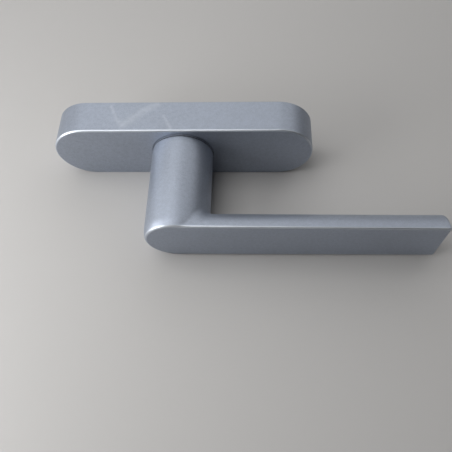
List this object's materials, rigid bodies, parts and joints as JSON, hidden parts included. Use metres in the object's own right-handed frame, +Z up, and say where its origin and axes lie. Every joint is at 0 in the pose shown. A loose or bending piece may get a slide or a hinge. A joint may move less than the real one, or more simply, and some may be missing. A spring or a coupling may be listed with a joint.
{
  "type": "window handle",
  "caption": "Window lever handle: one-piece angled lever with a flat-faced bar, on a narrow stadium-shaped rosette with a detent drive and a lift-off cover.",
  "frame": {"origin": "on the neck axis, in the plane of the mounting face", "axes": "+X along the rosette and the closed lever, +Y out of the mounting face towards the window, -Y along the neck towards the hand, +Z up as the handle lies on its long side"},
  "size_m": [0.134, 0.0512, 0.0254],
  "materials": {
    "satin_aluminium": "satin anodised",
    "steel": "zinc plated",
    "spring_steel": "bright rolled",
    "grey_polymer": "moulded, fine grained",
    "black_polymer": "matt"
  },
  "bodies": {
    "base": {"base_plate": "grey_polymer", "guide_ring": "satin_aluminium", "slide_washer": "black_polymer", "back_plate": "steel", "plate_screw_left": "steel", "plate_screw_right": "steel", "leaf_spring_upper": "spring_steel", "leaf_spring_lower": "spring_steel", "cover_clip_left": "spring_steel", "cover_clip_right": "spring_steel"},
    "cover": {"rosette_cover": "satin_aluminium"},
    "lever": {"lever": "satin_aluminium", "spindle_sleeve": "steel", "snap_ring": "spring_steel", "thrust_washer": "steel"}
  },
  "joints": [
    {"name": "lever_turn", "type": "hinge", "parent": "base", "child": "lever", "pos_m": [0, 0, 0], "axis": [0, -1, 0], "range_deg": [0, 180], "deforming": ["leaf_spring_upper", "leaf_spring_lower"]},
    {"name": "cover_lift", "type": "slide", "parent": "base", "child": "cover", "axis": [0, -1, 0], "range_m": [0, 0.014]}
  ]
}
